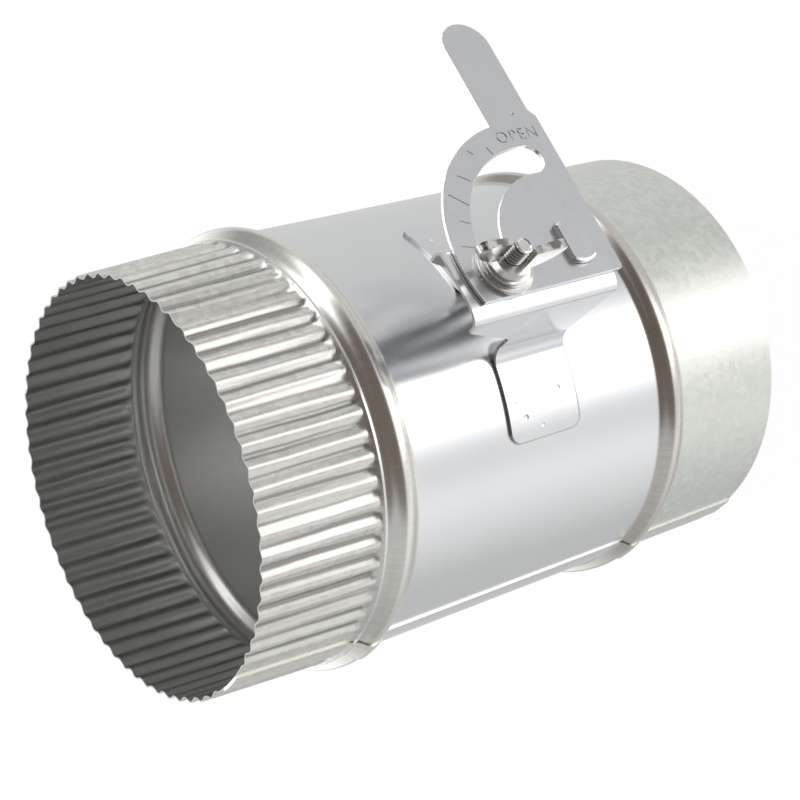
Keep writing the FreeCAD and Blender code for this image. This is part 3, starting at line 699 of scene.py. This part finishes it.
core = []
for degrees in (86, 70, 54, 38, 22, 8):
    a = math.radians(degrees)
    core.append((UNDER_PLATE - HEAD_HIGH * math.sin(a), HEAD_R * math.cos(a)))
core += [(UNDER_PLATE, HEAD_R), (UNDER_PLATE + 0.01, CORE_R), (BOLT_END - 1.1, CORE_R)]
core += [(BOLT_END - 0.85, 3.05), (BOLT_END - 0.5, 3.12), (BOLT_END - 0.15, 2.95), (BOLT_END, 2.6)]
core += [(BOLT_END - 0.02, 2.35), (BOLT_END - 0.28, 2.0), (BOLT_END - 0.32, 1.5)]
bolt = turned("carriage_bolt", core)
bpy.ops.object.select_all(action="DESELECT")
bpy.ops.mesh.primitive_cube_add(size=1, location=(0, 0, (UNDER_PLATE + 1.0) * MM),
                                scale=(NECK * MM, NECK * MM, 2.0 * MM))
neck = bpy.context.object
neck.name = "bolt_neck"
bpy.ops.object.transform_apply(location=True, rotation=True, scale=True)
ease = neck.modifiers.new("ease", "BEVEL")
ease.width = 0.2 * MM
bpy.ops.object.modifier_apply(modifier=ease.name)
lay_out(neck)

# one tooth of the thread, carried round and up the bolt
bpy.ops.object.select_all(action="DESELECT")
bpy.ops.mesh.primitive_circle_add(vertices=8, radius=THREAD_PITCH / 2 * MM, fill_type="NOTHING",
                                  location=(0, 0, 0), rotation=(math.radians(90), 0, 0))
bpy.ops.object.transform_apply(location=True, rotation=True, scale=True)
thread = bpy.context.object
thread.name = "bolt_thread"
choose(thread, lambda p: p.x > 0.3 and abs(p.z) > 0.1)
bpy.ops.transform.resize(value=(0.72, 1, 0.72), center_override=(0, 0, 0))
bpy.ops.mesh.select_all(action="SELECT")
bpy.ops.transform.resize(value=(1, 1, 0.97), center_override=(0, 0, 0))
first_turn = BOLT_END - 1.5 - THREAD_TURNS * THREAD_PITCH
bpy.ops.transform.translate(value=((THREAD_ROOT + 0.15) * MM, 0, first_turn * MM))
bpy.ops.object.mode_set(mode="OBJECT")
turns = thread.modifiers.new("rolling", "SCREW")
turns.axis = "Z"
turns.screw_offset = THREAD_PITCH * MM
turns.iterations = THREAD_TURNS
turns.steps = 40
turns.render_steps = 40
bpy.ops.object.modifier_apply(modifier=turns.name)
bpy.ops.object.mode_set(mode="EDIT")
bpy.ops.mesh.select_all(action="SELECT")
bpy.ops.mesh.fill_holes(sides=0)
bpy.ops.mesh.normals_make_consistent(inside=False)
lay_out(thread)
bpy.ops.object.select_all(action="DESELECT")
for piece in (thread, neck, bolt):
    piece.select_set(True)
bpy.context.view_layer.objects.active = bolt
bpy.ops.object.join()
bpy.ops.object.shade_smooth_by_angle(angle=math.radians(28))
threaded, nodes, shader = metal("zinc_thread")
place = nodes.node("ShaderNodeTexCoord", {}, {}, "Object")
px, py, pz = nodes.parts(place)
out = ((px - BOLT_AT[0]) ** 2.0 + (pz - BOLT_AT[2]) ** 2.0) ** 0.5
along = 0.0 - py
on_thread = nodes.step(along, 0.1183, 0.1185) * (1.0 - nodes.step(along, 0.1289, 0.1290))
# painted shade: the roots of the thread are painted dark
root_shade = (1.0 - nodes.step(out, 0.00250, 0.00300)) * on_thread
nodes.put(shader.inputs["Base Color"], nodes.blend(root_shade, (0.80, 0.79, 0.78, 1), (0.16, 0.15, 0.14, 1)))
nodes.put(shader.inputs["Roughness"], 0.20 + 0.15 * root_shade)
bolt.data.materials.append(threaded)
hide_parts("lock_bolt")
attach(bolt, "duct")

# Washers and wing nut. A plain washer and a split spring washer lie between the lever and
# the nut, which is a small forging with two upright wings.
forged_zinc, nodes, shader = metal("zinc_forged")
place = nodes.node("ShaderNodeTexCoord", {}, {}, "Object")
px, py, pz = nodes.parts(place)
grain = nodes.noise(nodes.stretched(place, (500, 500, 500)), 1.0, 3.0, 0.6)
# painted reflection: dark brown patches on the tops of the wings, for the dark surroundings that they
# reflect
wing_top_reflection = nodes.step(0.0 - py, 0.1284, 0.1292) * nodes.step(nodes.noise(place, 260.0, 2.0, 0.5), 0.36, 0.52)
nodes.put(shader.inputs["Base Color"], nodes.blend(wing_top_reflection, (0.84, 0.83, 0.81, 1), (0.30, 0.26, 0.24, 1)))
nodes.put(shader.inputs["Roughness"], 0.17 + 0.10 * grain)
for node, name, body, bevel in (("flat_washer", "plain_washer", "duct", 0.3),
                                ("lock_washer", "spring_washer", "clamp", 0.3),
                                ("wing_nut", "winged_nut", "nut", 0.6)):
    small = remake(node, name, bevel, 3)
    small.data.materials.append(forged_zinc if node == "wing_nut" else hardware_zinc)
    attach(small, body)
